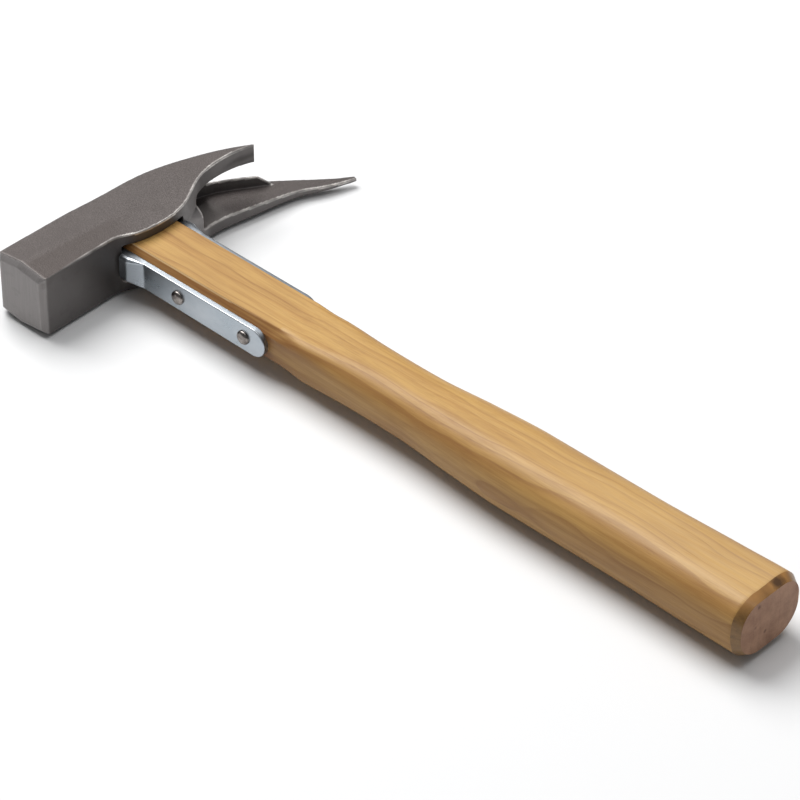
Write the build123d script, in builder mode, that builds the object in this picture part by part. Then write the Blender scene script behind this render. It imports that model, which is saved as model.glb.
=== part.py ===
"""Lath hammer: forged head with a square poll and a two-part claw, strapped wooden handle.

Millimetres. The origin is the centre of the striking face. +X runs along the handle
towards its butt, +Y runs along the head from the face to the spike, and +Z is up, with
the hammer lying on its cheek.
"""
import os

from build123d import *

# ---------------------------------------------------------------- driving dimensions
FACE_TO_EYE = 54.0      # striking face to the middle of the eye
POLL_HALF = 12.6        # half the side of the square poll
CHEEK_HALF = 12.75      # half the thickness of the head over the eye
RIDGE_HALF = 14.5       # half the thickness over the forging ridge of the poll
FACE_CHAMFER = 2.2      # bevel round the striking face
PRONG_END = 61.0        # eye to the edge of the short prong
SPIKE_END = 95.5        # eye to the point of the spike

HANDLE_END = 314.0      # head axis to the butt
WOOD_HALF_Y = 12.3      # half the depth of the wood between the straps
WOOD_HALF_Z = 8.2       # half the thickness of the wood at the head
PLANED_TOP = 2.0        # bevel planed along the corners of the wood, at the top of the head
PLANED_FRONT = 3.0      # the same at the end of the front strap
PLANED_REAR = 1.0       # and of the rear one
TENON_TOP = -12.6       # top of the wood, a little proud of the head
BUTT_CHAMFER = 3.0      # length of the bevel at the butt

STRAP_THICK = 2.2
STRAP_TOP_HALF = 5.5    # half the width of the straps over the head
STRAP_LOW_HALF = 6.1    # and where their round ends begin
STRAP_ROUND = 6.2       # length of the round ends
STRAP_END = 87.8        # head axis to the round end of the straps
STRAP_OUT = WOOD_HALF_Y + STRAP_THICK
SHOULDER_OUT = 17.0     # how far the shoulders under the head stand out
SHOULDER_FLAT = 3.6     # the part of a shoulder that runs parallel to the strap
SHOULDER_RAMP = 7.2     # its slope back down to the strap

RIVET_PLACES = {"upper_rivet": 42.9, "lower_rivet": 77.2}
RIVET_SHANK = 2.0       # radius
RIVET_HEAD = 2.9        # radius
RIVET_DOME = 1.7        # height of the dome above the strap

HOOK_THICK = 1.6        # the straps' ends bent over the top of the head
HOOK_OUT = 17.6
WEDGE_DEPTH = 24.0      # wooden wedge
WEDGE_BACK = 1.6        # half its thickness at the top of the eye
WEDGE_INSET = 0.8       # from the side of the wood to the wedge's side
STEEL_WEDGE_DEPTH = 13.0
STEEL_WEDGE_BACK = 1.2
STEEL_WEDGE_OFFSET = 5.6
STEEL_WEDGE_INSET = 2.4
STEEL_WEDGE_PROUD = 0.2
WEDGE_TIP = 0.3         # half the thickness of every wedge's thin end

EYE_CORNER = 1.2
GAP = 0.05              # clearance between fitted pieces

INNER_FACE = -7.5       # height of the spike's inner face at its root
INNER_FACE_BEND = 42.0  # eye to where that face starts to drop
POCKET_TOP = 6.4        # side of the pocket under the prong, at its end wall
PRONG_LEVEL = 2.6       # height from which the plan outline is the prong's
POCKET_END = 27.8       # end wall of the pocket, measured from the eye
POCKET_FILLET = 2.0
POCKET_LEAN = 3.0       # how far the pocket's back wall leans out beside the prong
NOTCH_ROOT = 43.6       # root of the nail notch, measured from the eye
NOTCH_LOW = -2.3        # heights of the notch at its root
NOTCH_HIGH = 5.4
NOTCH_FILLET = 1.5
WEB_CORNER = (63.3, -4.2)   # outer end of the web's edge, as (y, z) from the eye
WEB_FOOT = (68.6, -9.2)     # where the web runs out into the spike's inner face

BLANK_HALF = 16.0       # half the height of the blank that the cheeks are cut from
REACH = 4.0             # how far the claw's cutters pass the point of the spike
CUT = 60.0              # length of a cutter that passes right through

os.makedirs("parts", exist_ok=True)


def head_plane(height):
    """Plan plane with its origin on the handle's axis."""
    return Plane(origin=(0, FACE_TO_EYE, height))


def side_plane(x):
    """Plane across the handle: its local x runs along +Y and its local y along +Z."""
    return Plane(origin=(x, FACE_TO_EYE, 0), x_dir=(0, 1, 0), z_dir=(1, 0, 0))


def cross_plane(y):
    """Plane across the head: its local x runs along +X and its local y along +Z."""
    return Plane(origin=(0, FACE_TO_EYE + y, 0), x_dir=(1, 0, 0), z_dir=(0, -1, 0))


def finish(piece, name):
    piece.part.label = name
    export_step(piece.part, f"parts/{name}.step")


# ---------------------------------------------------------------- hammer_head
# Plan outlines, as (x, y) from the middle of the eye. The poll and the lobe beside the
# handle are common. Then the upper outline ends in the prong, the lower one in the spike.
POLL_UNDER = (POLL_HALF - 0.4, -20)
POLL_TOP = (-12.4, -25)
PRONG_UNDER = [
    (15.2, -10.3), (17.3, 3), (15.2, 16.5), (8.7, 28.5), (4.8, 42.0), (4.9, 51.5), (6.9, PRONG_END),
]
PRONG_TOP = [(6.2, PRONG_END), (-0.1, 49.6), (-6.0, 34.1), (-10.2, 16.5), (-11.2, -5)]
SPIKE_UNDER = [
    (15.2, -10.3), (17.3, 3), (15.7, 15.5), (12.6, 29), (14.8, 50.5), (19.6, 73.5),
    (28.1, SPIKE_END - 0.5),
]
SPIKE_TOP = [(26.4, SPIKE_END), (10.9, 75), (-0.7, 58), (-7.6, 38), (-10.4, 14), (-11.2, -5)]
POCKET_FLOOR = [(-5.8, 26), (-4.6, 34), (-2.2, 46), (4.3, 59.5), (9.5, 69), (30, 98)]

# Side profiles of the claw's cutters, as (y, z) from the middle of the eye.
INNER_FACE_OUT = (SPIKE_END + REACH, INNER_FACE - 3.6)
POCKET_TOP_OUT = (SPIKE_END + REACH, POCKET_TOP - 4.5)
PRONG_CORNER = (PRONG_END + 1, 4.1)
PRONG_CORNER_OUT = (SPIKE_END + REACH, 4.1)


def head_outline(height, under, top):
    """Closed plan outline of the head at a height, from the striking face to the claw's end."""
    with BuildSketch(head_plane(height)) as outline:
        with BuildLine():
            Line((-POLL_HALF, -FACE_TO_EYE), (POLL_HALF, -FACE_TO_EYE))
            Line((POLL_HALF, -FACE_TO_EYE), POLL_UNDER)
            Spline(POLL_UNDER, *under, tangents=[(-0.01, 1), (0.25, 1)])
            Line(under[-1], top[0])
            Spline(*top, POLL_TOP, tangents=[(-0.6, -1), (-0.01, -1)])
            Line(POLL_TOP, (-POLL_HALF, -FACE_TO_EYE))
        make_face()
    return outline.sketch


# A ruled loft keeps the cheeks of the poll in two facets that flatten out at the eye.
with BuildPart() as cheek_envelope:
    for y, ridge_x, ridge, corner_top, corner_under in (
        (-FACE_TO_EYE - 1, -1.0, RIDGE_HALF, 11.7, 9.8),
        (-14, 1.5, 13.9, 12.1, 11.0),
        (25, 2.0, CHEEK_HALF + 0.1, CHEEK_HALF, CHEEK_HALF),
        (SPIKE_END + 3, 2.0, 12.1, 12.0, 12.0),
    ):
        with BuildSketch(cross_plane(y)):
            Polygon(
                (-20, corner_top), (ridge_x, ridge), (35, corner_under),
                (35, -corner_under), (ridge_x, -ridge), (-20, -corner_top),
                align=None,
            )
    loft(ruled=True)


def pocket_plan(height, lean):
    """Plan of the pocket at a height: all that lies on the handle's side of its back wall."""
    wall = [(x + lean, y) for x, y in POCKET_FLOOR]
    with BuildSketch(head_plane(height)) as plan:
        with BuildLine():
            Spline(*wall)
            Polyline(wall[-1], (CUT, 98), (CUT, 26), wall[0])
        make_face()
    return plan.sketch


# Everything over the spike's inner face and under the prong, on the handle's side of the web.
with BuildPart() as pocket_space:
    extrude(pocket_plan(-BLANK_HALF, 0), amount=BLANK_HALF + NOTCH_LOW)
    loft([pocket_plan(NOTCH_LOW, 0), pocket_plan(POCKET_TOP + 1, POCKET_LEAN)], ruled=True)
    with BuildSketch(side_plane(-CUT / 2)):
        with BuildLine():
            FilletPolyline(
                INNER_FACE_OUT, (INNER_FACE_BEND, INNER_FACE), (POCKET_END, INNER_FACE),
                (POCKET_END, POCKET_TOP), POCKET_TOP_OUT,
                radius=POCKET_FILLET,
            )
            Line(POCKET_TOP_OUT, INNER_FACE_OUT)
        make_face()
    extrude(amount=CUT * 2, mode=Mode.INTERSECT)

# The nail notch: a V between the web and the prong, open towards the tips.
with BuildPart() as notch_space:
    with BuildSketch(side_plane(-CUT / 2)):
        with BuildLine():
            FilletPolyline(
                INNER_FACE_OUT, WEB_FOOT, WEB_CORNER, (NOTCH_ROOT, NOTCH_LOW),
                (NOTCH_ROOT, NOTCH_HIGH), PRONG_CORNER, PRONG_CORNER_OUT,
                radius=NOTCH_FILLET,
            )
            Line(PRONG_CORNER_OUT, INNER_FACE_OUT)
        make_face()
    extrude(amount=CUT)

with BuildPart() as hammer_head:
    extrude(head_outline(-BLANK_HALF, SPIKE_UNDER, SPIKE_TOP), amount=BLANK_HALF + INNER_FACE)
    spike_level = head_outline(INNER_FACE, SPIKE_UNDER, SPIKE_TOP)
    prong_level = head_outline(PRONG_LEVEL, PRONG_UNDER, PRONG_TOP)
    loft([spike_level, prong_level], ruled=True)
    extrude(prong_level, amount=BLANK_HALF - PRONG_LEVEL)
    add(cheek_envelope.part, mode=Mode.INTERSECT)
    add(pocket_space.part, mode=Mode.SUBTRACT)
    add(notch_space.part, mode=Mode.SUBTRACT)
    face_edges = hammer_head.faces().sort_by(Axis.Y)[0].edges()
    chamfer(face_edges, length=FACE_CHAMFER)
    with BuildSketch(side_plane(-CUT / 2)):
        RectangleRounded(2 * (STRAP_OUT + GAP), 2 * (WOOD_HALF_Z + GAP), EYE_CORNER)
    extrude(amount=CUT, mode=Mode.SUBTRACT)
finish(hammer_head, "hammer_head")


# ---------------------------------------------------------------- wedges in the eye
# The wooden wedge runs along the long side of the eye. Two steel wedges cross it.
steel_wedges = {}
for side, name in ((-1, "steel_wedge_front"), (1, "steel_wedge_rear")):
    with BuildPart() as steel_wedge:
        with BuildSketch(head_plane(STEEL_WEDGE_INSET - WOOD_HALF_Z)):
            with Locations((0, side * STEEL_WEDGE_OFFSET)):
                Polygon(
                    (TENON_TOP - STEEL_WEDGE_PROUD, -STEEL_WEDGE_BACK),
                    (TENON_TOP + STEEL_WEDGE_DEPTH, -WEDGE_TIP),
                    (TENON_TOP + STEEL_WEDGE_DEPTH, WEDGE_TIP),
                    (TENON_TOP - STEEL_WEDGE_PROUD, STEEL_WEDGE_BACK),
                    align=None,
                )
        extrude(amount=2 * (WOOD_HALF_Z - STEEL_WEDGE_INSET))
    finish(steel_wedge, name)
    steel_wedges[name] = steel_wedge.part

with BuildPart() as wooden_wedge:
    with BuildSketch(cross_plane(WEDGE_INSET - WOOD_HALF_Y)):
        Polygon(
            (TENON_TOP, -WEDGE_BACK), (TENON_TOP + WEDGE_DEPTH, -WEDGE_TIP),
            (TENON_TOP + WEDGE_DEPTH, WEDGE_TIP), (TENON_TOP, WEDGE_BACK),
            align=None,
        )
    extrude(amount=-2 * (WOOD_HALF_Y - WEDGE_INSET))
    for wedge in steel_wedges.values():
        add(wedge, mode=Mode.SUBTRACT)
finish(wooden_wedge, "wooden_wedge")


# ---------------------------------------------------------------- handle
# Sections of the grip behind the straps: x, half depth, half thickness, and the radii of
# the upper and the lower corners.
GRIP = [
    (104, 12.8, 9.1, 4.6, 5.2),
    (128, 13.1, 10.3, 8.4, 9.2),
    (152, 13.5, 10.8, 9.6, 10.4),
    (178, 15.1, 12.0, 10.4, 11.6),
    (204, 16.2, 12.9, 11.2, 12.5),
    (252, 16.2, 12.9, 10.9, 12.6),
    (290, 16.6, 13.3, 10.2, 12.9),
    (HANDLE_END - BUTT_CHAMFER, 16.7, 13.4, 9.4, 13.0),
]
BUTT = (HANDLE_END, 15.1, 11.2, 9.0, 10.6)
BUTT_LIFT = 0.5         # the sawn end sits a little high in the bevel


def planed_section(x, front_bevel, rear_bevel):
    """Section between the straps: a rectangle with its four corners planed off."""
    with BuildSketch(side_plane(x)) as section:
        Rectangle(2 * WOOD_HALF_Y, 2 * WOOD_HALF_Z)
        chamfer(section.vertices().group_by(Axis.X)[0], front_bevel)
        chamfer(section.vertices().group_by(Axis.X)[-1], rear_bevel)
    return section.sketch


def grip_section(x, half_y, half_z, upper_corner, lower_corner, lift=0.0):
    """Rounded section across the handle, with its own radius above and below."""
    with BuildSketch(side_plane(x)) as section:
        with Locations((0, lift)):
            Rectangle(2 * half_y, 2 * half_z)
        fillet(section.vertices().group_by(Axis.Y)[-1], upper_corner)
        fillet(section.vertices().group_by(Axis.Y)[0], lower_corner)
    return section.sketch


with BuildPart() as handle:
    strap_end_section = planed_section(STRAP_END, PLANED_FRONT, PLANED_REAR)
    loft([planed_section(TENON_TOP, PLANED_TOP, PLANED_TOP), strap_end_section], ruled=True)
    sections = [strap_end_section] + [grip_section(*row) for row in GRIP]
    loft(sections)
    loft([sections[-1], grip_section(*BUTT, lift=BUTT_LIFT)], ruled=True)
    add(wooden_wedge.part, mode=Mode.SUBTRACT)
    for wedge in steel_wedges.values():
        add(wedge, mode=Mode.SUBTRACT)
    for x in RIVET_PLACES.values():
        with Locations(Location((x, FACE_TO_EYE, 0), (90, 0, 0))):
            Cylinder(RIVET_SHANK + GAP, 2 * STRAP_OUT, mode=Mode.SUBTRACT)
finish(handle, "handle")


# ---------------------------------------------------------------- straps
# Each strap hooks over the top of the head, fills its side of the eye, stands out in a
# shoulder against the underside of the head, and lies on the wood down to its round end.
for side, name, hook, shoulder in (
    (-1, "front_strap", -12.3, 13.95),
    (1, "rear_strap", -10.7, 16.2),
):
    with BuildPart() as strap:
        with BuildSketch(head_plane(-WOOD_HALF_Z)):
            with BuildLine():
                Polyline(
                    (hook - HOOK_THICK, side * WOOD_HALF_Y), (hook - HOOK_THICK, side * HOOK_OUT),
                    (hook, side * HOOK_OUT), (hook, side * STRAP_OUT),
                    (shoulder, side * STRAP_OUT), (shoulder, side * SHOULDER_OUT),
                    (shoulder + SHOULDER_FLAT, side * SHOULDER_OUT),
                    (shoulder + SHOULDER_FLAT + SHOULDER_RAMP, side * STRAP_OUT),
                    (STRAP_END, side * STRAP_OUT), (STRAP_END, side * WOOD_HALF_Y),
                    close=True,
                )
            make_face()
        extrude(amount=2 * WOOD_HALF_Z)
        with BuildSketch(cross_plane(-CUT / 2)):
            with BuildLine():
                Polyline(
                    (STRAP_END - STRAP_ROUND, STRAP_LOW_HALF), (hook - HOOK_THICK, STRAP_TOP_HALF),
                    (hook - HOOK_THICK, -STRAP_TOP_HALF), (STRAP_END - STRAP_ROUND, -STRAP_LOW_HALF),
                )
                ThreePointArc(
                    (STRAP_END - STRAP_ROUND, -STRAP_LOW_HALF), (STRAP_END, 0),
                    (STRAP_END - STRAP_ROUND, STRAP_LOW_HALF),
                )
            make_face()
        extrude(amount=-CUT, mode=Mode.INTERSECT)
        for x in RIVET_PLACES.values():
            with Locations(Location((x, FACE_TO_EYE, 0), (90, 0, 0))):
                Cylinder(RIVET_SHANK + GAP, CUT, mode=Mode.SUBTRACT)
    finish(strap, name)


# ---------------------------------------------------------------- rivets
# Each rivet passes through both straps and the wood, with a domed head on each side.
for name, x in RIVET_PLACES.items():
    with BuildPart() as rivet:
        with BuildSketch(head_plane(0)):
            with BuildLine():
                Line((x, -STRAP_OUT - RIVET_DOME), (x, STRAP_OUT + RIVET_DOME))
                for side in (1, -1):
                    ThreePointArc(
                        (x, side * (STRAP_OUT + RIVET_DOME)),
                        (x + 0.62 * RIVET_HEAD, side * (STRAP_OUT + 0.68 * RIVET_DOME)),
                        (x + RIVET_HEAD, side * STRAP_OUT),
                    )
                    Line((x + RIVET_HEAD, side * STRAP_OUT), (x + RIVET_SHANK, side * STRAP_OUT))
                Line((x + RIVET_SHANK, STRAP_OUT), (x + RIVET_SHANK, -STRAP_OUT))
            make_face()
        revolve(axis=Axis((x, FACE_TO_EYE, 0), (0, 1, 0)))
    finish(rivet, name)
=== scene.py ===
import math

import bmesh
import bpy
import numpy as np
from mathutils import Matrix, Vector, noise


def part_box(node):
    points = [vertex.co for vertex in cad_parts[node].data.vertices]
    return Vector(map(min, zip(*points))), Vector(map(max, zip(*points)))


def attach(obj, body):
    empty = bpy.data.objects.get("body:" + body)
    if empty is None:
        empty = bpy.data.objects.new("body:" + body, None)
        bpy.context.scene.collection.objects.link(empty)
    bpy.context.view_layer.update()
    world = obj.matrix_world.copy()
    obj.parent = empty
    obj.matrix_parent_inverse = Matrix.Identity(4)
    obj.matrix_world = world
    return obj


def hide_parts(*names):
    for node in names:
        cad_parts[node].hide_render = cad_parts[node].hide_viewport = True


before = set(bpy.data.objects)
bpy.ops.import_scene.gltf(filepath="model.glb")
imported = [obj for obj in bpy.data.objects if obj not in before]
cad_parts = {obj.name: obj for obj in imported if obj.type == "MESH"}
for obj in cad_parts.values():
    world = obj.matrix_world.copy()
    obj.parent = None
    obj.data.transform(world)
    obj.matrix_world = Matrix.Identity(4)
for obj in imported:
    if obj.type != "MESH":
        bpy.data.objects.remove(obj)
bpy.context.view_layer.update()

MM = 0.001
WELD = 0.004            # mm; points nearer than this are one point
HEAD_LATTICE = 0.62     # share of the remesh lattice the head fills, for cells of 0.47 mm


# ---------------------------------------------------------------- frame measures (mm)
def box_mm(node):
    low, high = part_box(node)
    return np.array(low) / MM, np.array(high) / MM


HEAD_LOW, HEAD_HIGH = box_mm("hammer_head")
HANDLE_LOW, HANDLE_HIGH = box_mm("handle")
EYE_Y = (HANDLE_LOW[1] + HANDLE_HIGH[1]) / 2
BUTT_X = HANDLE_HIGH[0]
TENON_X = HANDLE_LOW[0]
FLOOR_Z = min(HEAD_LOW[2], HANDLE_LOW[2]) * MM


# ---------------------------------------------------------------- small tools
def smoothstep(low, high, value):
    t = np.clip((value - low) / (high - low), 0, 1)
    return t * t * (3 - 2 * t)


def plateau(rise, fall, value):
    """1 between the end of the rise and the start of the fall, 0 outside both."""
    return smoothstep(*rise, value) * (1 - smoothstep(*fall, value))


def cubic(table, x):
    """Smooth curve through rows of (x, value, value...), flat at both ends (monotone slopes)."""
    table = np.array(table, float)
    xs, ys = table[:, 0], table[:, 1:]
    step = np.diff(xs)[:, None]
    slope = np.diff(ys, axis=0) / step
    tangent = np.zeros_like(ys)
    same = slope[1:] * slope[:-1] > 0
    total = np.where(same, slope[1:] + slope[:-1], 1)
    tangent[1:-1] = np.where(same, 2 * slope[1:] * slope[:-1] / total, 0)
    i = np.clip(np.searchsorted(xs, x, side="right") - 1, 0, len(xs) - 2)
    t = ((x - xs[i]) / (xs[i + 1] - xs[i]))[:, None]
    h = step[i]
    return (
        ys[i] * (1 + 2 * t) * (1 - t) ** 2 + tangent[i] * h * t * (1 - t) ** 2
        + ys[i + 1] * t * t * (3 - 2 * t) + tangent[i + 1] * h * t * t * (t - 1)
    )


def new_piece(name, verts_mm, faces):
    """A smoothly shaded mesh object in the row frame from vertices in millimetres."""
    mesh = bpy.data.meshes.new(name)
    mesh.from_pydata([tuple(v * MM) for v in np.asarray(verts_mm, float)], [], faces)
    mesh.update()
    piece = bpy.data.objects.new(name, mesh)
    bpy.context.scene.collection.objects.link(piece)
    for polygon in mesh.polygons:
        polygon.use_smooth = True
    return piece


def apply_modifiers(piece):
    """Turns what the modifiers make into the piece's own mesh."""
    graph = bpy.context.evaluated_depsgraph_get()
    made = bpy.data.meshes.new_from_object(piece.evaluated_get(graph))
    piece.modifiers.clear()
    piece.data = made


def ring_faces(rings, around):
    """Quads between successive rings of points, with one face over each end."""
    faces = []
    for r in range(rings - 1):
        for k in range(around):
            a = r * around + k
            b = r * around + (k + 1) % around
            faces.append((a, b, b + around, a + around))
    faces.append(tuple(range(around - 1, -1, -1)))
    faces.append(tuple((rings - 1) * around + k for k in range(around)))
    return faces


def sharpen(piece, degrees):
    """Smooth shading that breaks at edges sharper than the angle."""
    mesh = bmesh.new()
    mesh.from_mesh(piece.data)
    limit = math.radians(degrees)
    for edge in mesh.edges:
        edge.smooth = edge.calc_face_angle(0) < limit
    mesh.to_mesh(piece.data)
    mesh.free()


# ---------------------------------------------------------------- node tools
class Nodes:
    """A short way to write a node tree."""

    def __init__(self, name):
        self.material = bpy.data.materials.new(name)
        self.material.use_nodes = True
        self.tree = self.material.node_tree
        self.shader = self.tree.nodes["Principled BSDF"]
        self.coords = self.add("ShaderNodeTexCoord").outputs["Object"]

    def add(self, kind, **settings):
        node = self.tree.nodes.new(kind)
        for key, value in settings.items():
            setattr(node, key, value)
        return node

    def plug(self, target, value):
        if isinstance(value, bpy.types.NodeSocket):
            self.tree.links.new(value, target)
        else:
            target.default_value = value

    def math(self, operation, a, b=0.0, c=0.0, clamp=False):
        node = self.add("ShaderNodeMath", operation=operation, use_clamp=clamp)
        for target, value in zip(node.inputs, (a, b, c)):
            self.plug(target, value)
        return node.outputs[0]

    def scaled(self, scale, offset=(0, 0, 0)):
        node = self.add("ShaderNodeMapping")
        self.plug(node.inputs["Vector"], self.coords)
        node.inputs["Scale"].default_value = scale
        node.inputs["Location"].default_value = offset
        return node.outputs[0]

    def noise(self, vector, scale, detail=3.0, rough=0.55):
        node = self.add("ShaderNodeTexNoise")
        self.plug(node.inputs["Vector"], vector)
        node.inputs["Scale"].default_value = scale
        node.inputs["Detail"].default_value = detail
        node.inputs["Roughness"].default_value = rough
        return node.outputs["Fac"]

    def voronoi(self, vector, scale):
        node = self.add("ShaderNodeTexVoronoi")
        self.plug(node.inputs["Vector"], vector)
        node.inputs["Scale"].default_value = scale
        return node.outputs["Distance"]

    def ramp(self, value, *stops):
        """Greys between stops of (position, grey)."""
        node = self.add("ShaderNodeValToRGB")
        elements = node.color_ramp.elements
        while len(elements) < len(stops):
            elements.new(0.5)
        for element, (position, grey) in zip(elements, stops):
            element.position = position
            element.color = (grey, grey, grey, 1)
        self.plug(node.inputs["Fac"], value)
        return node.outputs["Color"]

    def mix(self, factor, a, b):
        node = self.add("ShaderNodeMix", data_type="RGBA")
        self.plug(node.inputs[0], factor)
        for target, value in ((node.inputs[6], a), (node.inputs[7], b)):
            if isinstance(value, tuple):
                value = (*value, 1)
            self.plug(target, value)
        return node.outputs[2]

    def axes(self):
        node = self.add("ShaderNodeSeparateXYZ")
        self.plug(node.inputs[0], self.coords)
        return node.outputs

    def vector(self, x, y, z):
        node = self.add("ShaderNodeCombineXYZ")
        for target, value in zip(node.inputs, (x, y, z)):
            self.plug(target, value)
        return node.outputs[0]

    def attribute(self, name):
        return self.add("ShaderNodeAttribute", attribute_name=name).outputs["Fac"]

    def bump(self, height, distance, strength):
        node = self.add("ShaderNodeBump")
        node.inputs["Strength"].default_value = strength
        node.inputs["Distance"].default_value = distance
        self.plug(node.inputs["Height"], height)
        return node.outputs[0]

    def finish(self, colour, rough, normal=None, metallic=0.0, **fixed):
        if isinstance(colour, tuple):
            colour = (*colour, 1)
        self.plug(self.shader.inputs["Base Color"], colour)
        self.plug(self.shader.inputs["Roughness"], rough)
        self.shader.inputs["Metallic"].default_value = metallic
        if normal is not None:
            self.plug(self.shader.inputs["Normal"], normal)
        for key, value in fixed.items():
            self.shader.inputs[key.replace("_", " ")].default_value = value
        return self.material


# ---------------------------------------------------------------- materials
PITH_Y, PITH_Z = 0.030, 0.010       # metres: the tree's centre line lies at y = -PITH_Y, z = -PITH_Z
PITH_LEAN = -0.012                  # and leans in y by this much for each metre along x
RING_WANDER, RING_UNEVENNESS = 0.016, 0.009     # metres
RINGS_PER_METRE = 215.0
BURNT_SPOT = (BUTT_X - 2.0, EYE_Y + 5.2, 12.0)  # mm
BURNT_RADIUS = 0.006                # metres
LIGHT_WOOD = (0.530, 0.320, 0.104)
HONEY_WOOD = (0.410, 0.212, 0.060)
BROWN_WOOD = (0.220, 0.095, 0.030)
# colour of the painted shade on the wood's sideways faces
SIDE_SHADE_WOOD = (0.150, 0.050, 0.012)
# colour of the painted highlight on the top and of the pale arris line
HIGHLIGHT_WOOD = (0.70, 0.50, 0.27)


def growth_rings(n):
    """Position within the growth ring, 0 to 1, at each point: rings about a pith beside the handle."""
    x, y, z = n.axes()
    slow = n.noise(n.scaled((11, 30, 30)), 1.0, detail=2)
    far_y = n.math("ADD", y, n.math("MULTIPLY_ADD", slow, RING_WANDER, PITH_Y))
    far_z = n.math("ADD", z, PITH_Z)
    far_y = n.math("MULTIPLY_ADD", x, PITH_LEAN, far_y)
    radius = n.math("SQRT", n.math("ADD", n.math("POWER", far_y, 2.0), n.math("POWER", far_z, 2.0)))
    uneven = n.noise(n.vector(0.0, n.math("MULTIPLY", radius, 180.0), 0.0), 1.0, detail=1)
    radius = n.math("MULTIPLY_ADD", uneven, RING_UNEVENNESS, radius)
    return n.math("FRACT", n.math("MULTIPLY", radius, RINGS_PER_METRE))


def wood_material():
    """Ash: brown growth-ring lines, soft bands and fine pores along the handle, under satin lacquer,
    with painted shade on the sideways faces and painted highlight on the top.
    """
    n = Nodes("ash_long_grain")
    painted_side_shade, pale = n.attribute("painted_side_shade"), n.attribute("pale")
    ring = growth_rings(n)
    line = n.ramp(ring, (0.0, 0.0), (0.72, 0.03), (0.90, 0.35), (0.97, 1.0), (1.0, 0.0))
    band = n.ramp(ring, (0.0, 0.0), (0.5, 0.25), (0.95, 1.0), (1.0, 0.0))
    streak = n.noise(n.scaled((12, 420, 420)), 1.0, detail=4, rough=0.6)
    mottle = n.noise(n.scaled((38, 560, 560)), 1.0, detail=4, rough=0.6)
    fibre = n.noise(n.scaled((55, 2400, 2400)), 1.0, detail=3, rough=0.7)
    pores = n.ramp(n.noise(n.scaled((130, 3400, 3400)), 1.0, detail=1), (0.28, 1.0), (0.40, 0.0))
    cloud = n.noise(n.scaled((14, 60, 60), offset=(1, 4, 2)), 1.0, detail=3)
    line_depth = n.math("MULTIPLY", line, n.ramp(cloud, (0.3, 0.16), (0.7, 0.62)))
    pore_depth = n.math("MULTIPLY", pores, n.math("MULTIPLY_ADD", band, 0.22, 0.06))
    # painted shade on the sideways faces, broken up by streaks
    side_shade = n.math("MULTIPLY", painted_side_shade, n.ramp(streak, (0.28, 0.45), (0.55, 1.0)))
    # painted highlight on the top towards the butt, and the pale arris line, partly worn lacquer
    painted_highlight = n.math("MULTIPLY", pale, n.ramp(mottle, (0.30, 0.35), (0.60, 0.80)))
    colour = n.mix(n.math("MULTIPLY", band, 0.32), LIGHT_WOOD, HONEY_WOOD)
    colour = n.mix(n.ramp(streak, (0.40, 0.0), (0.72, 0.50)), colour, HONEY_WOOD)
    colour = n.mix(n.ramp(cloud, (0.48, 0.0), (0.76, 0.36)), colour, BROWN_WOOD)
    colour = n.mix(n.ramp(mottle, (0.46, 0.0), (0.74, 0.26)), colour, BROWN_WOOD)
    colour = n.mix(line_depth, colour, BROWN_WOOD)
    colour = n.mix(n.ramp(fibre, (0.30, 0.28), (0.56, 0.0)), colour, BROWN_WOOD)
    colour = n.mix(pore_depth, colour, BROWN_WOOD)
    colour = n.mix(side_shade, colour, SIDE_SHADE_WOOD)
    colour = n.mix(painted_highlight, colour, HIGHLIGHT_WOOD)
    height = n.math("ADD", n.math("MULTIPLY", fibre, 0.6), n.math("MULTIPLY", pores, -0.7))
    height = n.math("MULTIPLY_ADD", mottle, 0.8, height)
    rough = n.math("MULTIPLY_ADD", mottle, 0.20, 0.36)
    return n.finish(
        colour, rough, n.bump(height, 0.00010, 0.35),
        Coat_Weight=0.12, Coat_Roughness=0.30, Coat_IOR=1.45, Specular_IOR_Level=0.25,
    )


def end_grain_material():
    """The sawn butt: bare wood with growth-ring arcs, dark pores, small dents and saw marks."""
    n = Nodes("ash_end_grain")
    band = n.ramp(growth_rings(n), (0.0, 0.1), (0.12, 0.8), (0.5, 0.2), (1.0, 0.0))
    pores = n.ramp(n.voronoi(n.coords, 1500.0), (0.16, 1.0), (0.30, 0.0))
    stain = n.noise(n.scaled((1, 150, 170), offset=(2, 9, 4)), 1.0, detail=4, rough=0.65)
    dent_cells = n.voronoi(n.scaled((1, 1, 1), offset=(0, 0.0031, 0.0012)), 150.0)
    dents = n.ramp(dent_cells, (0.07, 1.0), (0.16, 0.0))
    pore_depth = n.math("MULTIPLY", pores, n.math("MULTIPLY_ADD", band, 0.35, 0.12))
    colour = n.mix(
        n.ramp(stain, (0.35, 0.0), (0.70, 1.0)), (0.420, 0.240, 0.150), (0.285, 0.150, 0.092),
    )
    colour = n.mix(n.math("MULTIPLY", band, 0.16), colour, (0.150, 0.078, 0.048))
    colour = n.mix(pore_depth, colour, (0.060, 0.030, 0.018))
    colour = n.mix(n.math("MULTIPLY", dents, 0.55), colour, (0.075, 0.036, 0.022))
    saw = n.noise(n.scaled((1, 900, 60)), 1.0, detail=2)
    holes = n.math("MULTIPLY", n.math("ADD", pores, dents), -0.6)
    height = n.math("MULTIPLY_ADD", saw, 0.5, holes)
    return n.finish(colour, 0.62, n.bump(height, 0.00012, 0.6), Specular_IOR_Level=0.3)


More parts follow.
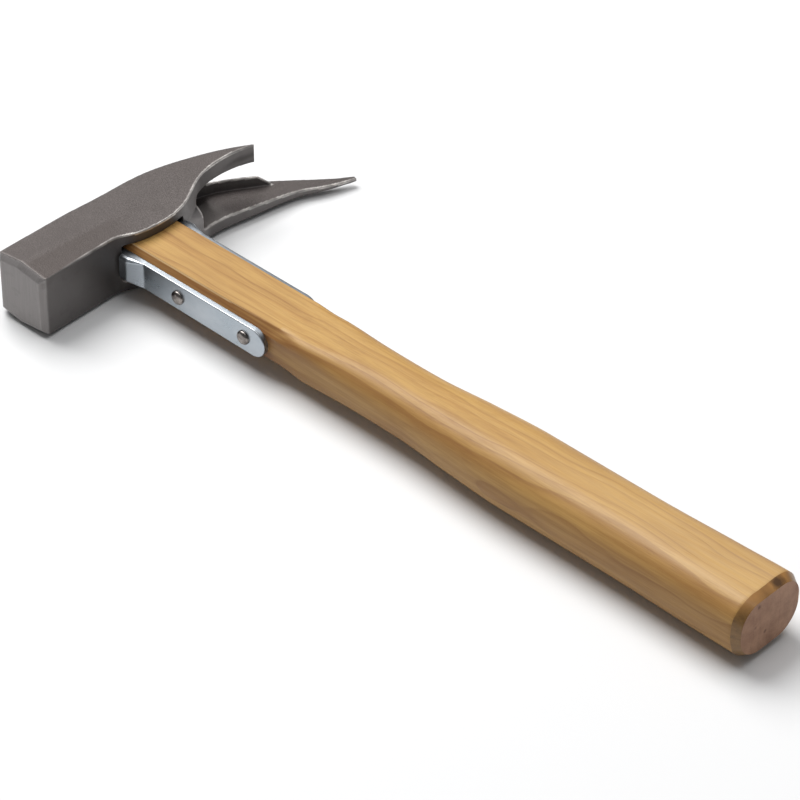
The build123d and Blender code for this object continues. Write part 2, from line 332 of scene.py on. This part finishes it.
def chamfer_wood_material():
    """The lacquered bevel at the butt: end grain soaks the lacquer and darkens, with one burnt spot."""
    n = Nodes("ash_bevel")
    streak = n.noise(n.scaled((260, 600, 600)), 1.0, detail=4, rough=0.6)
    band = n.noise(n.scaled((40, 120, 120)), 1.0, detail=2)
    height_share = n.math("MULTIPLY", n.axes()["Z"], 1.0 / (HANDLE_HIGH[2] * MM))
    high = n.ramp(height_share, (0.70, 0.0), (0.95, 1.0))
    colour = n.mix(
        n.ramp(streak, (0.3, 0.0), (0.7, 1.0)), (0.160, 0.082, 0.024), (0.250, 0.132, 0.040),
    )
    # painted light: the bevel lightened towards its top
    colour = n.mix(n.math("MULTIPLY", high, 0.7), colour, (0.420, 0.205, 0.062))
    colour = n.mix(n.ramp(band, (0.5, 0.0), (0.75, 0.45)), colour, (0.12, 0.055, 0.018))
    spot = n.add("ShaderNodeVectorMath", operation="DISTANCE")
    n.plug(spot.inputs[0], n.coords)
    spot.inputs[1].default_value = tuple(v * MM for v in BURNT_SPOT)
    ragged = n.math("MULTIPLY_ADD", streak, 0.0030, spot.outputs["Value"])
    burnt = n.ramp(n.math("MULTIPLY", ragged, 1 / BURNT_RADIUS), (0.45, 1.0), (0.85, 0.0))
    colour = n.mix(n.math("MULTIPLY", burnt, 0.85), colour, (0.045, 0.020, 0.008))
    return n.finish(
        colour, 0.36, n.bump(streak, 0.00008, 0.4),
        Coat_Weight=0.3, Coat_Roughness=0.25, Specular_IOR_Level=0.3,
    )


def forged_material():
    """Shot-blasted forging, with ground undersides and face, silvery burrs brightened as a painted
    highlight and slightly worn edges; painted reflection and shade on the undersides, painted shade on
    one cheek facet, painted light in the pocket.
    """
    n = Nodes("forged_steel")
    blasted, tone_and_painted_shade, burr_and_highlight, worn, painted_pocket_light = (
        n.attribute(name) for name in ("blasted", "tone_and_painted_shade", "burr_and_highlight", "worn", "painted_pocket_light")
    )
    pits = n.noise(n.coords, 1900.0, detail=3, rough=0.7)
    grit = n.voronoi(n.coords, 2300.0)
    cloud = n.noise(n.coords, 55.0, detail=4, rough=0.6)
    stains = n.noise(n.scaled((1, 1, 1), offset=(3, 5, 1)), 210.0, detail=3)
    skin = n.mix(
        n.ramp(pits, (0.34, 0.0), (0.66, 1.0)), (0.067, 0.056, 0.052), (0.132, 0.114, 0.108),
    )
    skin = n.mix(n.ramp(cloud, (0.35, 0.0), (0.75, 0.40)), skin, (0.074, 0.062, 0.057))
    # painted shade: on the blasted cheeks the tone darkens the facet turned away from the key light
    skin = n.mix(n.math("MULTIPLY", tone_and_painted_shade, 0.45), skin, (0.060, 0.047, 0.041))
    grind = n.noise(n.scaled((1900, 70, 70)), 1.0, detail=3)
    # brightness of the ground faces: the polished face's own tone, and painted reflection and shade on
    # the undersides by place
    ground = n.mix(tone_and_painted_shade, (0.036, 0.031, 0.029), (0.270, 0.252, 0.246))
    ground = n.mix(n.ramp(grind, (0.30, 0.14), (0.65, 0.0)), ground, (0.040, 0.034, 0.032))
    broken = n.ramp(stains, (0.38, 0.55), (0.56, 1.0))
    worn_depth = n.math("MULTIPLY", worn, n.math("MULTIPLY", broken, 0.30))
    colour = n.mix(blasted, ground, skin)
    colour = n.mix(n.ramp(stains, (0.58, 0.0), (0.80, 0.30)), colour, (0.060, 0.050, 0.046))
    # painted light: lighter colour inside the pocket, which lies in shade
    colour = n.mix(n.math("MULTIPLY", painted_pocket_light, 0.62), colour, (0.300, 0.275, 0.262))
    colour = n.mix(worn_depth, colour, (0.42, 0.40, 0.39))
    # the real burr along the cheek's edge, painted near white as a painted highlight
    colour = n.mix(n.math("MULTIPLY", burr_and_highlight, broken), colour, (0.78, 0.74, 0.70))
    rough = n.math("MULTIPLY_ADD", pits, 0.16, 0.36)
    rough = n.math("MULTIPLY_ADD", blasted, 0.10, rough)
    rough = n.math("MULTIPLY_ADD", burr_and_highlight, -0.12, rough, clamp=True)
    depth = n.math("MULTIPLY_ADD", blasted, 0.85, 0.15)
    height = n.math("MULTIPLY", n.math("MULTIPLY_ADD", grit, 0.6, pits), depth)
    return n.finish(colour, rough, n.bump(height, 0.00010, 0.8), metallic=0.55)


def plated_material():
    """Bright plated strip with faint rolling lines, dull cut edges, burnished corners and scratches,
    and a painted reflection on the shoulders' ramps.
    """
    n = Nodes("plated_steel")
    edge, cut, ramp = (n.attribute(name) for name in ("edge", "cut", "ramp"))
    cloud = n.noise(n.scaled((40, 40, 90)), 1.0, detail=4, rough=0.6)
    lines = n.noise(n.scaled((45, 1, 3000)), 1.0, detail=2)
    scratches = n.noise(n.scaled((260, 1, 4200), offset=(1, 2, 3)), 1.0, detail=1)
    torn = n.noise(n.scaled((500, 500, 900)), 1.0, detail=3)
    burnished = n.math("MULTIPLY", edge, n.math("MULTIPLY_ADD", cut, -0.8, 0.8))
    colour = n.mix(
        n.ramp(cloud, (0.35, 0.0), (0.70, 1.0)), (0.370, 0.415, 0.455), (0.470, 0.505, 0.540),
    )
    # painted reflection: the shoulders' ramps are lightened to stand in for the bright reflection they
    # catch
    colour = n.mix(n.math("MULTIPLY", ramp, 0.7), colour, (0.72, 0.78, 0.84))
    colour = n.mix(n.ramp(scratches, (0.66, 0.0), (0.74, 0.35)), colour, (0.16, 0.17, 0.18))
    colour = n.mix(n.math("MULTIPLY", cut, 0.90), colour, (0.085, 0.088, 0.098))
    colour = n.mix(burnished, colour, (0.46, 0.48, 0.50))
    rough = n.math("MULTIPLY_ADD", cloud, 0.20, 0.20)
    rough = n.math("MULTIPLY_ADD", cut, 0.20, rough)
    cut_height = n.math("MULTIPLY", torn, n.math("MULTIPLY", cut, 3.0))
    height = n.math("ADD", n.math("ADD", lines, scratches), cut_height)
    return n.finish(colour, rough, n.bump(height, 0.00003, 0.35), metallic=1.0)


def rivet_material():
    """Bare steel domes, darker than the strap, with cloudy stains."""
    n = Nodes("rivet_steel")
    cloud = n.noise(n.coords, 700.0, detail=3)
    fine = n.noise(n.coords, 3000.0, detail=2)
    colour = n.mix(n.ramp(cloud, (0.35, 0.0), (0.7, 1.0)), (0.16, 0.14, 0.13), (0.36, 0.33, 0.31))
    rough = n.math("MULTIPLY_ADD", fine, 0.2, 0.16)
    return n.finish(colour, rough, n.bump(fine, 0.00003, 0.4), metallic=1.0)


def wedge_wood_material():
    """Unfinished hardwood, seen on end at the top of the eye: fine dark pores in pale wood."""
    n = Nodes("wedge_wood")
    cloud = n.noise(n.scaled((200, 200, 200)), 1.0, detail=2)
    grain = n.noise(n.scaled((40, 2600, 2600)), 1.0, detail=2)
    pores = n.ramp(n.voronoi(n.scaled((300, 2200, 2200)), 1.0), (0.12, 1.0), (0.26, 0.0))
    colour = n.mix(n.ramp(cloud, (0.35, 0.0), (0.70, 1.0)), (0.40, 0.25, 0.12), (0.50, 0.33, 0.17))
    colour = n.mix(n.ramp(grain, (0.35, 0.25), (0.60, 0.0)), colour, (0.30, 0.17, 0.08))
    colour = n.mix(n.math("MULTIPLY", pores, 0.5), colour, (0.16, 0.08, 0.04))
    return n.finish(colour, 0.6, n.bump(n.math("SUBTRACT", grain, pores), 0.00008, 0.5))


def wedge_steel_material():
    """Mill-scaled steel with hammer marks."""
    n = Nodes("wedge_steel")
    marks = n.noise(n.coords, 1500.0, detail=2)
    colour = n.mix(n.ramp(marks, (0.35, 0.0), (0.7, 1.0)), (0.09, 0.085, 0.08), (0.24, 0.225, 0.21))
    return n.finish(colour, 0.45, n.bump(marks, 0.0001, 0.6), metallic=0.9)


def floor_material():
    """Even, matt light grey."""
    return Nodes("studio_floor").finish((0.78, 0.78, 0.78), 0.9)


# ---------------------------------------------------------------- hammer head
def neighbour_mean(values, edges, count):
    """The mean over each vertex's neighbours, where count says how many it has."""
    total = np.zeros(values.shape)
    np.add.at(total, edges[:, 0], values[edges[:, 1]])
    np.add.at(total, edges[:, 1], values[edges[:, 0]])
    return total / (count if values.ndim == 1 else count[:, None])


def mesh_arrays(mesh):
    """Places and normals of the vertices, the edges, and how many neighbours each vertex has."""
    verts = np.empty(len(mesh.vertices) * 3)
    mesh.vertices.foreach_get("co", verts)
    normals = np.empty(len(mesh.vertices) * 3)
    mesh.vertices.foreach_get("normal", normals)
    edges = np.empty(len(mesh.edges) * 2, int)
    mesh.edges.foreach_get("vertices", edges)
    edges = edges.reshape(-1, 2)
    count = np.maximum(np.bincount(edges.ravel(), minlength=len(mesh.vertices)), 1)
    return verts.reshape(-1, 3), normals.reshape(-1, 3), edges, count


def store(mesh, name, values):
    """Keeps a value of 0 to 1 at each vertex for a material to read."""
    layer = mesh.attributes.new(name, "FLOAT", "POINT")
    layer.data.foreach_set("value", np.clip(values, 0, 1).astype(np.float32))


def spread(values, edges):
    """Gives each vertex the largest value among itself and its neighbours."""
    wide = values.copy()
    np.maximum.at(wide, edges[:, 0], values[edges[:, 1]])
    np.maximum.at(wide, edges[:, 1], values[edges[:, 0]])
    return wide


def outer_edges(mesh, degrees):
    """1 at the vertices of convex edges sharper than the angle, 0 elsewhere."""
    made = bmesh.new()
    made.from_mesh(mesh)
    marks = np.zeros(len(made.verts))
    for edge in made.edges:
        if edge.calc_face_angle_signed(0) > math.radians(degrees):
            for vert in edge.verts:
                marks[vert.index] = 1
    made.free()
    return marks


def fine_noise(points, size, seed):
    """Smooth repeatable noise in -1..1 at each point, with features of the given size in mm."""
    offset = Vector((seed * 7.3, seed * 3.1, seed * 5.7))
    return np.array([noise.noise(Vector(p) / size + offset) for p in points])


BURR_HEIGHT = 0.16      # mm
EDGE_WEAR = 0.06        # mm
HOLLOW_DEPTH, HOLLOW_HALF_WIDTH = 0.35, 1.5     # mm, of the hollow along the claw's underside
TIPS_Y = (144, 147)     # mm: the smoothing fades out here, so the claw's tips keep their shape


def make_head(material):
    """The forging: the frame's own shape, resampled finely, with worn edges, burrs and blasted skin."""
    head = bpy.data.objects.new("head_forging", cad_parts["hammer_head"].data.copy())
    bpy.context.scene.collection.objects.link(head)
    mesh = bmesh.new()
    mesh.from_mesh(head.data)
    bmesh.ops.remove_doubles(mesh, verts=mesh.verts, dist=WELD * MM)
    mesh.to_mesh(head.data)
    mesh.free()
    remesh = head.modifiers.new("resample", "REMESH")
    remesh.mode = "SHARP"
    remesh.octree_depth = 9
    remesh.scale = HEAD_LATTICE
    remesh.use_smooth_shade = True
    apply_modifiers(head)
    head.data.materials.clear()
    head.data.materials.append(material)

    verts, normals, edges, count = mesh_arrays(head.data)
    crest = outer_edges(head.data, 28)
    soft = verts.copy()
    for _ in range(2):
        soft = 0.6 * soft + 0.4 * neighbour_mean(soft, edges, count)
    tips = smoothstep(*TIPS_Y, verts[:, 1] / MM)
    verts = verts + (soft - verts) * (1 - tips)[:, None]
    near = crest
    for _ in range(2):
        near = np.maximum(near, 1.3 * neighbour_mean(near, edges, count) - 0.15)

    mm = verts / MM
    x, y, z = mm.T
    nx, ny, nz = normals.T
    blasted = smoothstep(0.72, 0.88, np.abs(nz))
    skin = 0.012 * fine_noise(mm, 0.9, 1) + 0.016 * fine_noise(mm, 2.6, 2)
    upper = z > 0
    along = 0.70 * smoothstep(9, 42, y) + 0.30 * smoothstep(64, 80, y) * upper
    along = along * (1 - 0.65 * smoothstep(94, 110, y) * upper)
    burr_line = spread(crest * (nx > 0.22) * (nz > 0.22), edges)
    for _ in range(2):
        burr_line = 0.5 * burr_line + 0.5 * neighbour_mean(burr_line, edges, count)
    burr_line = smoothstep(0.25, 0.85, burr_line)
    uneven = smoothstep(-0.6, 0.5, 0.6 * fine_noise(mm, 1.6, 3) + fine_noise(mm, 4.5, 8))
    burr_and_highlight = burr_line * along * (0.45 + 0.65 * uneven)
    worn = near * (1 - burr_and_highlight)
    ragged = 0.6 + 0.4 * fine_noise(mm, 1.1, 4)
    lift = skin * blasted + BURR_HEIGHT * burr_and_highlight * ragged - EDGE_WEAR * worn
    hollow = smoothstep(98, 110, y) * smoothstep(0.5, 0.8, nx) * (z > 1)
    hollow = hollow * np.exp(-((z - 7.2 - 0.10 * (y - 105)) / HOLLOW_HALF_WIDTH) ** 2)
    lift = lift - HOLLOW_DEPTH * hollow * (1 - smoothstep(108, 112, y))
    verts = verts + normals * (lift * MM)[:, None]
    verts = np.clip(verts, HEAD_LOW * MM, HEAD_HIGH * MM)
    head.data.vertices.foreach_set("co", verts.ravel())
    head.data.update()

    underside = smoothstep(0.5, 0.7, nx) * (1 - blasted)
    face = smoothstep(0.5, 0.7, -ny) * (y < 6)
    beyond_eye = plateau((EYE_Y + 11, EYE_Y + 20), (EYE_Y + 27, EYE_Y + 33), y)
    lobe = plateau((14, 34), (EYE_Y + 6, EYE_Y + 16), y)
    # painted reflection and shade on the ground undersides: darker under the lobe, lighter past the eye
    # and further on, darker in the hollow and low on the claw
    tone_and_painted_shade = 0.40 - 0.14 * lobe + 0.50 * beyond_eye + 0.06 * smoothstep(EYE_Y + 32, EYE_Y + 50, y)
    low_band = smoothstep(100, 112, y) * (z > 1) * smoothstep(6.2, 5.0, z)
    tone_and_painted_shade = tone_and_painted_shade - 0.30 * hollow - 0.22 * low_band
    # painted shade: the cheek's facet on the +x side near the face, turned away from the key light, is
    # darkened
    painted_facet_shade = smoothstep(0.5, 2.5, x - 0.05 * y) * (1 - smoothstep(36, 52, y)) * upper
    polished = np.where(face > 0.5, 0.85, tone_and_painted_shade * underside + 0.55 * (1 - underside))
    # painted light: the inside of the pocket between prong and claw, which lies in shade, is lightened
    painted_pocket_light = plateau((79, 86), (90, 101), y) * smoothstep(-0.5, 1.0, x)
    painted_pocket_light = painted_pocket_light * smoothstep(-8.8, -7.8, z) * smoothstep(5.8, 4.8, z)
    store(head.data, "blasted", blasted)
    store(head.data, "tone_and_painted_shade", polished * (1 - blasted) + painted_facet_shade * blasted)
    store(head.data, "burr_and_highlight", burr_and_highlight)
    store(head.data, "painted_pocket_light", painted_pocket_light)
    store(head.data, "worn", worn)
    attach(head, "root")
    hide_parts("hammer_head")


# ---------------------------------------------------------------- handle
WOOD_HALF_Y, WOOD_HALF_Z = 12.3, 8.2    # of the straight wood in the eye and between the straps
STRAPS_END = 88
BEVEL = 3.0             # of the butt, along the handle
BEVEL_X = BUTT_X - BEVEL
# x, half depth (Y), half thickness (Z), size of the upper and of the lower corners, in mm
HANDLE_SECTIONS = [
    (TENON_X, WOOD_HALF_Y, WOOD_HALF_Z, 2.1, 2.1),
    (86, WOOD_HALF_Y, WOOD_HALF_Z, 3.0, 3.0),
    (104, 12.8, 9.1, 4.4, 5.0),
    (128, 13.1, 10.3, 8.2, 9.0),
    (152, 13.5, 10.8, 9.4, 10.2),
    (178, 15.1, 12.0, 10.2, 11.4),
    (204, 16.2, 12.9, 11.0, 12.3),
    (252, 16.2, 12.9, 10.7, 12.4),
    (290, 16.6, 13.3, 10.0, 12.7),
    (BEVEL_X, 16.7, 13.4, 9.2, 12.8),
]
REAR_TAPER = 0.66       # share by which the rear corners' bevel narrows towards the straps' ends
PLANED_FADE = (STRAPS_END, 106)         # where the planed corners turn into rounded ones
BUTT_SECTION = (15.1, 11.2, 9.0, 10.6)
BUTT_LIFT = 0.5
BEVEL_RINGS = ((0.03, 0.03), (0.12, 0.11), (0.5, 0.52), (0.88, 0.89), (0.96, 0.96), (1.0, 1.0))
BUTT_RINGS = (0.97, 0.75, 0.5, 0.25, 0.06)
SLOT_OVERRUN = 1.0      # the slots' cutters stand this far out of the wood
SIDE_POINTS, CORNER_POINTS = 10, 12


def section_points(half_y, half_z, upper, lower, planed=0.0, rear=1.0):
    """Points round a rectangle with rounded or planed corners, always the same number."""
    along = np.linspace(0, 1, CORNER_POINTS + 1)
    arcs = []
    for quarter, (sy, sz) in enumerate(((1, 1), (-1, 1), (-1, -1), (1, -1))):
        corner = (upper if sz > 0 else lower) * (rear if sy > 0 else 1.0)
        angles = math.pi / 2 * (quarter + along)
        arc = np.column_stack([
            sy * (half_y - corner) + corner * np.cos(angles),
            sz * (half_z - corner) + corner * np.sin(angles),
        ])
        chord = arc[0] + (arc[-1] - arc[0]) * along[:, None]
        arcs.append(arc + (chord - arc) * planed)
    points = []
    for arc, following in zip(arcs, arcs[1:] + arcs[:1]):
        points.append(arc)
        share = (np.arange(1, SIDE_POINTS) / SIDE_POINTS)[:, None]
        points.append(arc[-1] + (following[0] - arc[-1]) * share)
    return np.concatenate(points)


def soften(ring, rounds):
    """Smooths a closed ring of points."""
    for _ in range(rounds):
        ring = 0.5 * ring + 0.25 * (np.roll(ring, 1, 0) + np.roll(ring, -1, 0))
    return ring


def cut_slots(handle, names):
    """Opens the wedges' slots in the top of the wood."""
    cutters = []
    for name in names:
        cutter = bpy.data.objects.new(f"slot_{name}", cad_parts[name].data.copy())
        bpy.context.scene.collection.objects.link(cutter)
        for vert in cutter.data.vertices:
            if vert.co.x < (TENON_X + 2) * MM:
                vert.co.x -= SLOT_OVERRUN * MM
        slot = handle.modifiers.new(f"slot_{name}", "BOOLEAN")
        slot.operation = "DIFFERENCE"
        slot.solver = "EXACT"
        slot.object = cutter
        cutters.append(cutter)
    apply_modifiers(handle)
    for cutter in cutters:
        bpy.data.objects.remove(cutter)


def make_handle(long_grain, bevel_wood, end_grain):
    """The wood: one skin of sections from the eye to the butt, with a hand-cut bevel and a sawn end."""
    stations = np.concatenate([np.linspace(TENON_X, 82, 40), np.linspace(84, BEVEL_X, 170)])
    rings = []
    for x, section in zip(stations, cubic(HANDLE_SECTIONS, stations)):
        taper = REAR_TAPER * min(1.0, (x - TENON_X) / (STRAPS_END - TENON_X))
        taper = taper * (1 - smoothstep(STRAPS_END, 104, x))
        ring = section_points(*section, planed=1 - smoothstep(*PLANED_FADE, x), rear=1 - taper)
        rings.append((x, soften(ring, int(3 * smoothstep(STRAPS_END, 130, x)))))
    bevel_start = len(rings) - 1
    last = rings[-1][1]
    face = section_points(*BUTT_SECTION) + (0, BUTT_LIFT)
    for share, inward in BEVEL_RINGS:
        rings.append((BEVEL_X + share * BEVEL, last + (face - last) * inward))
    butt_start = len(rings) - 1
    for share in BUTT_RINGS:
        rings.append((BUTT_X, face * share))
    around = len(last)
    verts = np.array([(x, EYE_Y + p[0], p[1]) for x, ring in rings for p in ring])
    flat = verts * (0, 1, 1)
    wobble = 0.35 * fine_noise(flat, 5.0, 6) + 0.12 * fine_noise(flat, 1.6, 7)
    by_bevel = np.clip(1 - np.abs(verts[:, 0] - BEVEL_X) / (0.8 * BEVEL), 0, 1)
    verts[:, 0] -= (wobble + 0.3) * by_bevel
    handle = new_piece("handle_wood", verts, ring_faces(len(rings), around))
    for material in (long_grain, bevel_wood, end_grain):
        handle.data.materials.append(material)
    for polygon in handle.data.polygons:
        ring = polygon.index // around
        if ring >= butt_start or polygon.normal.x < -0.9:
            polygon.material_index = 2
        elif ring >= bevel_start:
            polygon.material_index = 1
    cut_slots(handle, ("wooden_wedge", "steel_wedge_front", "steel_wedge_rear"))
    sharpen(handle, 40)
    places, normals, _, _ = mesh_arrays(handle.data)
    x, y, z = (places / MM).T
    sideways = np.abs(normals[:, 1])
    # painted shade: sideways faces darkened, most on the strip beside each strap's edge and over the
    # grip's sides
    beyond_straps = smoothstep(80, 128, x)
    shade_by_strap = smoothstep(0.35, 0.75, sideways) * (1 - beyond_straps)
    under_strap = smoothstep(7.4, 6.2, np.abs(z)) * (1 - smoothstep(86, 92, x))
    side_shade_tint = 0.33 * smoothstep(0.15, 0.85, sideways) * beyond_straps
    bevel = smoothstep(0.90, 0.80, sideways)
    store(handle.data, "painted_side_shade", shade_by_strap * (0.62 + 0.33 * under_strap + 0.16 * bevel) + side_shade_tint)
    # a pale line along the top arris beside the head, partly worn lacquer and partly painted highlight;
    # and painted light that lightens the top towards the butt
    below = WOOD_HALF_Z - z
    arris = (below > 0.05) * (below < 0.45) * (y < EYE_Y) * (1 - smoothstep(60, 86, x))
    painted_highlight = 0.34 * smoothstep(150, 300, x) * smoothstep(0.86, 0.98, normals[:, 2])
    store(handle.data, "pale", np.maximum(arris, painted_highlight))
    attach(handle, "root")
    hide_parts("handle")


# ---------------------------------------------------------------- straps
# Faces are distances from the handle's axis, and lengths run along the handle, in mm.
STRAP_BACK, STRAP_FACE, SHOULDER_FACE = WOOD_HALF_Y, 14.5, 17.0
SHOULDER_X = {"front_strap": 13.95, "rear_strap": 16.2}
SHOULDER_FLAT = 3.6     # from the shoulder's step to the start of its ramp
SHOULDER_LENGTH = 10.8  # from the shoulder's step to the foot of its ramp
HOOK_LENGTH = 1.6
TOP_HALF_WIDTH = 5.5
STRAP_ROUND = 6.2       # length of the straps' round ends
EDGE_ROUND = 0.45       # rounding of the straps' long edges
SHOULDER_ROUND = 1.9    # and of the shoulders' edges


def make_strap(node, material):
    """A plate whose outer face is a height over (x, z), with a hook, a shoulder and a round end."""
    low, high = box_mm(node)
    side = -1 if (low[1] + high[1]) / 2 < EYE_Y else 1
    hook_face = abs((low[1] if side < 0 else high[1]) - EYE_Y)
    hook_end = low[0] + HOOK_LENGTH
    shoulder = SHOULDER_X[node]
    flat_end, ramp_end = shoulder + SHOULDER_FLAT, shoulder + SHOULDER_LENGTH
    round_start = high[0] - STRAP_ROUND
    half = high[2]

    def half_width(x):
        grown = (half - TOP_HALF_WIDTH) * (x - low[0]) / (round_start - low[0])
        over = np.clip((x - round_start) / STRAP_ROUND, 0, 1)
        width = TOP_HALF_WIDTH + grown if over == 0 else half * math.sqrt(max(1 - over * over, 0.0))
        return max(width, 0.02)

    def reach(x):
        if x <= hook_end:
            return hook_face
        if x < shoulder:
            return STRAP_FACE
        if x <= flat_end:
            return SHOULDER_FACE
        fallen = (SHOULDER_FACE - STRAP_FACE) * (x - flat_end) / (ramp_end - flat_end)
        return max(STRAP_FACE, SHOULDER_FACE - fallen)

    stations = list(np.linspace(low[0], hook_end, 5))
    stations += list(np.linspace(hook_end + 0.02, shoulder - 0.02, 30))
    stations += list(np.linspace(shoulder, shoulder + 0.5, 5))
    stations += list(np.linspace(shoulder + 0.8, ramp_end + 2, 26))
    stations += list(np.linspace(ramp_end + 3, round_start, 40))
    stations += list(round_start + STRAP_ROUND * np.sin(np.linspace(0.05, math.pi / 2, 30)))
    across = np.sin(np.linspace(-math.pi / 2, math.pi / 2, 33))
    verts, rows = [], len(across)
    for x in stations:
        width = half_width(x)
        on_shoulder = plateau((shoulder - 0.01, shoulder), (flat_end, ramp_end), x)
        rounding = EDGE_ROUND + (SHOULDER_ROUND - EDGE_ROUND) * on_shoulder
        for c in across:
            z = c * width
            edge = width - abs(z)
            if x > round_start:
                edge = min(edge, half - math.hypot((x - round_start) * half / STRAP_ROUND, z))
            lean = max(0.0, 1 - edge / rounding)
            drop = rounding * (1 - math.sqrt(max(0.0, 1 - lean * lean)))
            verts.append((x, EYE_Y + side * (reach(x) - drop), z))
    for x in stations:
        width = half_width(x)
        for c in across:
            verts.append((x, EYE_Y + side * STRAP_BACK, c * width))
    count = len(stations)
    faces = []
    back = count * rows
    for i in range(count - 1):
        for j in range(rows - 1):
            a = i * rows + j
            faces.append((a, a + 1, a + rows + 1, a + rows))
            faces.append((back + a, back + a + rows, back + a + rows + 1, back + a + 1))
        for j in (0, rows - 1):
            a = i * rows + j
            face = (a, a + rows, back + a + rows, back + a)
            faces.append(face if j == 0 else face[::-1])
    for i in (0, count - 1):
        for j in range(rows - 1):
            a = i * rows + j
            face = (a, back + a, back + a + 1, a + 1)
            faces.append(face if i == 0 else face[::-1])
    strap = new_piece(f"{node}_plate", verts, faces)
    mesh = bmesh.new()
    mesh.from_mesh(strap.data)
    bmesh.ops.remove_doubles(mesh, verts=mesh.verts, dist=0.01 * MM)
    bmesh.ops.recalc_face_normals(mesh, faces=mesh.faces)
    mesh.to_mesh(strap.data)
    mesh.free()
    strap.data.materials.append(material)
    sharpen(strap, 38)
    places, normals, _, _ = mesh_arrays(strap.data)
    xs, ys, zs = (places / MM).T
    rim = np.array([half_width(x) for x in xs]) - np.abs(zs)
    from_axis = np.abs(ys - EYE_Y)
    outside = from_axis > STRAP_FACE - 0.9
    turned = 1 - np.abs(normals[:, 1])
    # painted reflection: marks each shoulder's ramp, which the material lightens
    ramp = plateau((flat_end - 0.4, flat_end + 0.2), (ramp_end - 0.3, ramp_end + 0.3), xs)
    store(strap.data, "edge", (1 - smoothstep(0.10, 0.60, rim)) * outside)
    store(strap.data, "cut", smoothstep(0.80, 0.95, turned + 0.15 * (from_axis < STRAP_FACE - 0.6)))
    store(strap.data, "ramp", ramp * outside)
    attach(strap, "root")
    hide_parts(node)


# ---------------------------------------------------------------- rivets
SHANK_RADIUS = 2.0
DOME_RIM = 0.15         # height of the rim under each dome
DOME_STEPS, RIVET_SIDES = 12, 48


def make_rivet(node, material):
    """A shank with a domed, slightly flattened head on each strap."""
    low, high = box_mm(node)
    centre_x, centre_z = (low[0] + high[0]) / 2, (low[2] + high[2]) / 2
    head_radius = (high[0] - low[0]) / 2
    reach = (high[1] - low[1]) / 2
    crown = reach - STRAP_FACE - DOME_RIM
    profile = []
    for k in range(DOME_STEPS + 1):
        t = math.pi / 2 * k / DOME_STEPS
        rise = STRAP_FACE + DOME_RIM + crown * math.cos(t) ** 0.9
        profile.append((max(head_radius * math.sin(t), 0.01), rise))
    profile.append((head_radius * 0.985, STRAP_FACE))
    profile.append((SHANK_RADIUS, STRAP_FACE))
    rings = profile + [(r, -y) for r, y in reversed(profile)]
    verts = []
    for r, y in rings:
        for k in range(RIVET_SIDES):
            angle = 2 * math.pi * k / RIVET_SIDES
            verts.append((centre_x + r * math.cos(angle), EYE_Y + y, centre_z + r * math.sin(angle)))
    rivet = new_piece(f"{node}_domes", verts, ring_faces(len(rings), RIVET_SIDES))
    rivet.data.materials.append(material)
    sharpen(rivet, 40)
    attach(rivet, "root")
    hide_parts(node)


# ---------------------------------------------------------------- build
make_head(forged_material())
make_handle(wood_material(), chamfer_wood_material(), end_grain_material())
plated = plated_material()
for node in ("front_strap", "rear_strap"):
    make_strap(node, plated)
rivet_steel = rivet_material()
for node in ("upper_rivet", "lower_rivet"):
    make_rivet(node, rivet_steel)
wedge_wood, wedge_steel = wedge_wood_material(), wedge_steel_material()
for node, material in (
    ("wooden_wedge", wedge_wood), ("steel_wedge_front", wedge_steel), ("steel_wedge_rear", wedge_steel),
):
    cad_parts[node].material_slots[0].material = material

# ---------------------------------------------------------------- stage, lights, camera
HALF_FLOOR = 6.0        # metres
AIM = Vector((0.15059, 0.0453, 0.0084))         # metres: what the camera and the lights point at
AZIMUTH, ELEVATION, DISTANCE = math.radians(43.73), math.radians(39.08), 1.4706

floor = bpy.data.objects.new("floor", bpy.data.meshes.new("floor"))
floor.data.from_pydata(
    [(sx * HALF_FLOOR, sy * HALF_FLOOR, FLOOR_Z) for sx, sy in ((-1, -1), (1, -1), (1, 1), (-1, 1))],
    [], [(0, 1, 2, 3)],
)
floor.data.materials.append(floor_material())
bpy.context.scene.collection.objects.link(floor)

world = bpy.data.worlds.new("studio")
bpy.context.scene.world = world
world.use_nodes = True
background = world.node_tree.nodes["Background"]
background.inputs["Color"].default_value = (0.95, 0.97, 1.0, 1)
background.inputs["Strength"].default_value = 0.20


def area_light(name, direction, distance, size, watts):
    data = bpy.data.lights.new(name, "AREA")
    data.shape = "RECTANGLE"
    data.size, data.size_y = size
    data.energy = watts
    light = bpy.data.objects.new(name, data)
    bpy.context.scene.collection.objects.link(light)
    back = Vector(direction).normalized()
    light.location = AIM + back * distance
    light.rotation_mode = "QUATERNION"
    light.rotation_quaternion = back.to_track_quat("Z", "Y")


area_light("key_left", (-0.60, 0.08, 0.85), 2.8, (2.0, 2.0), 94)
area_light("overhead", (0.10, 0.15, 1.0), 2.8, (2.2, 2.2), 29)

back = Vector((
    math.sin(AZIMUTH) * math.cos(ELEVATION),
    -math.cos(AZIMUTH) * math.cos(ELEVATION),
    math.sin(ELEVATION),
))
camera = bpy.data.objects.new("camera", bpy.data.cameras.new("camera"))
bpy.context.scene.collection.objects.link(camera)
camera.data.lens = 186.81
camera.data.sensor_width = 36
camera.location = AIM + back * DISTANCE
camera.rotation_mode = "QUATERNION"
camera.rotation_quaternion = (-back).to_track_quat("-Z", "Y")
bpy.context.scene.camera = camera
bpy.context.scene.view_settings.view_transform = "Standard"
